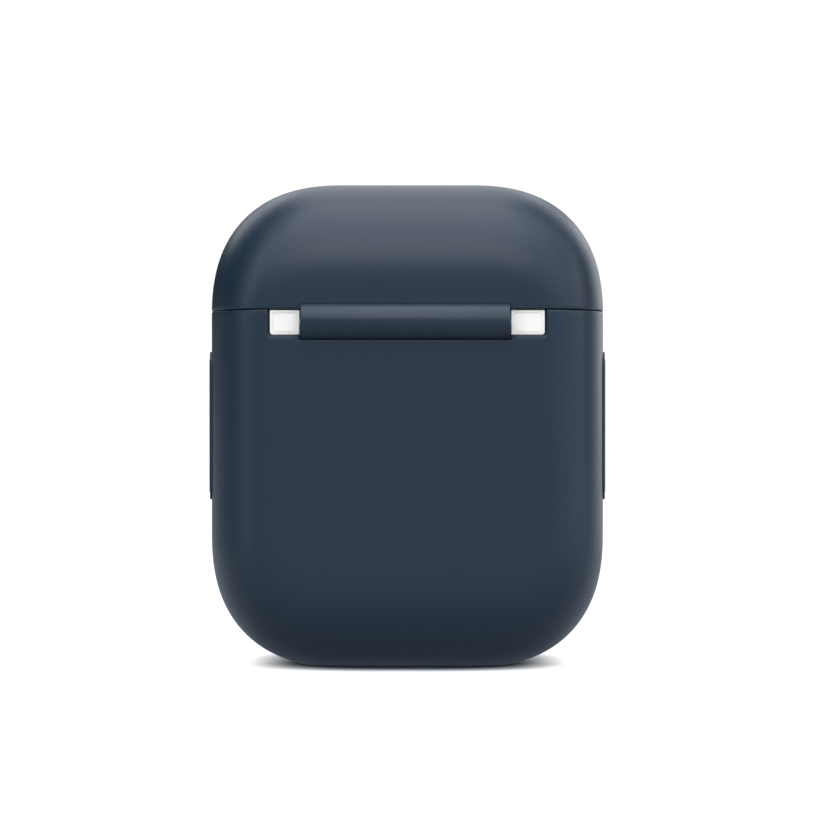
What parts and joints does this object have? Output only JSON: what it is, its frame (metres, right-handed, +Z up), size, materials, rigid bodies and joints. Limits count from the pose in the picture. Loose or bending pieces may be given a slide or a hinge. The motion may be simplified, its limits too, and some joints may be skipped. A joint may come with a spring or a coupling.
{
  "type": "wireless earbuds charging case",
  "caption": "Pill-shaped earbuds charging case in a fitted matte cover, with a hinged lid on a back hinge bar, side grip pads, stem wells, spring contacts, battery and charging coil.",
  "frame": {"origin": "centre of the footprint of the closed case, on the surface it stands on", "axes": "+Z up through the lid, +Y to the back where the hinge bar is, front and status light at -Y, +X to the case's own left"},
  "size_m": [0.0468, 0.0248, 0.0565],
  "materials": {
    "cover_navy": "matte silicone",
    "bar_navy": "matte",
    "grip_navy": "matte silicone",
    "white_plastic": "gloss",
    "steel": "satin",
    "contact_gold": "plated",
    "magnet_nickel": "plated",
    "battery_foil": "foil",
    "foam_black": "foam",
    "board_green": "satin",
    "chip_black": "matte",
    "copper": "wound copper",
    "ferrite": "matte",
    "flex_amber": "satin",
    "light_pipe": "clear"
  },
  "bodies": {
    "base": {"cover_base": "cover_navy", "grip_pad_left": "grip_navy", "grip_pad_right": "grip_navy", "base_shell": "white_plastic", "tray_plate": "white_plastic", "head_cup_left": "white_plastic", "head_cup_right": "white_plastic", "stem_tube_left": "white_plastic", "stem_tube_right": "white_plastic", "hinge_lug_left": "white_plastic", "hinge_lug_right": "white_plastic", "center_bridge": "white_plastic", "hinge_pin": "steel", "tray_screw_front": "steel", "tray_screw_back": "steel", "port_shell": "steel", "button_switch": "steel", "base_magnet_left": "magnet_nickel", "base_magnet_right": "magnet_nickel", "battery": "battery_foil", "battery_pad": "foam_black", "main_board": "board_green", "port_board": "board_green", "led_board": "board_green", "contact_board_left": "board_green", "contact_board_right": "board_green", "processor_chip": "chip_black", "charger_chip": "chip_black", "lid_sensor": "chip_black", "port_tongue": "chip_black", "switch_bracket": "chip_black", "contact_block_left": "chip_black", "contact_block_right": "chip_black", "charging_coil": "copper", "ferrite_sheet": "ferrite", "power_inductor": "ferrite", "board_flex": "flex_amber", "light_pipe": "light_pipe", "status_led": "light_pipe"},
    "lid": {"cover_lid": "cover_navy", "lid_shell": "white_plastic", "lid_liner": "white_plastic", "hinge_bar": "bar_navy", "hinge_screw_left": "steel", "hinge_screw_right": "steel", "lid_magnet_left": "magnet_nickel", "lid_magnet_right": "magnet_nickel"},
    "button": {"setup_button": "white_plastic"},
    "contact_left_front": {"contact_pin_left_front": "contact_gold"},
    "contact_left_back": {"contact_pin_left_back": "contact_gold"},
    "contact_right_front": {"contact_pin_right_front": "contact_gold"},
    "contact_right_back": {"contact_pin_right_back": "contact_gold"}
  },
  "joints": [
    {"name": "lid_hinge", "type": "hinge", "parent": "base", "child": "lid", "pos_m": [0, 0.01012, 0.04009], "axis": [-1, 0, 0], "range_deg": [0, 105]},
    {"name": "setup_button_press", "type": "slide", "parent": "base", "child": "button", "axis": [0, -1, 0], "range_m": [0, 0.00035], "stiffness_N_per_m": 800},
    {"name": "contact_left_front_travel", "type": "slide", "parent": "base", "child": "contact_left_front", "axis": [0, 0, -1], "range_m": [0, 0.0004], "stiffness_N_per_m": 150},
    {"name": "contact_left_back_travel", "type": "slide", "parent": "base", "child": "contact_left_back", "axis": [0, 0, -1], "range_m": [0, 0.0004], "stiffness_N_per_m": 150},
    {"name": "contact_right_front_travel", "type": "slide", "parent": "base", "child": "contact_right_front", "axis": [0, 0, -1], "range_m": [0, 0.0004], "stiffness_N_per_m": 150},
    {"name": "contact_right_back_travel", "type": "slide", "parent": "base", "child": "contact_right_back", "axis": [0, 0, -1], "range_m": [0, 0.0004], "stiffness_N_per_m": 150}
  ]
}
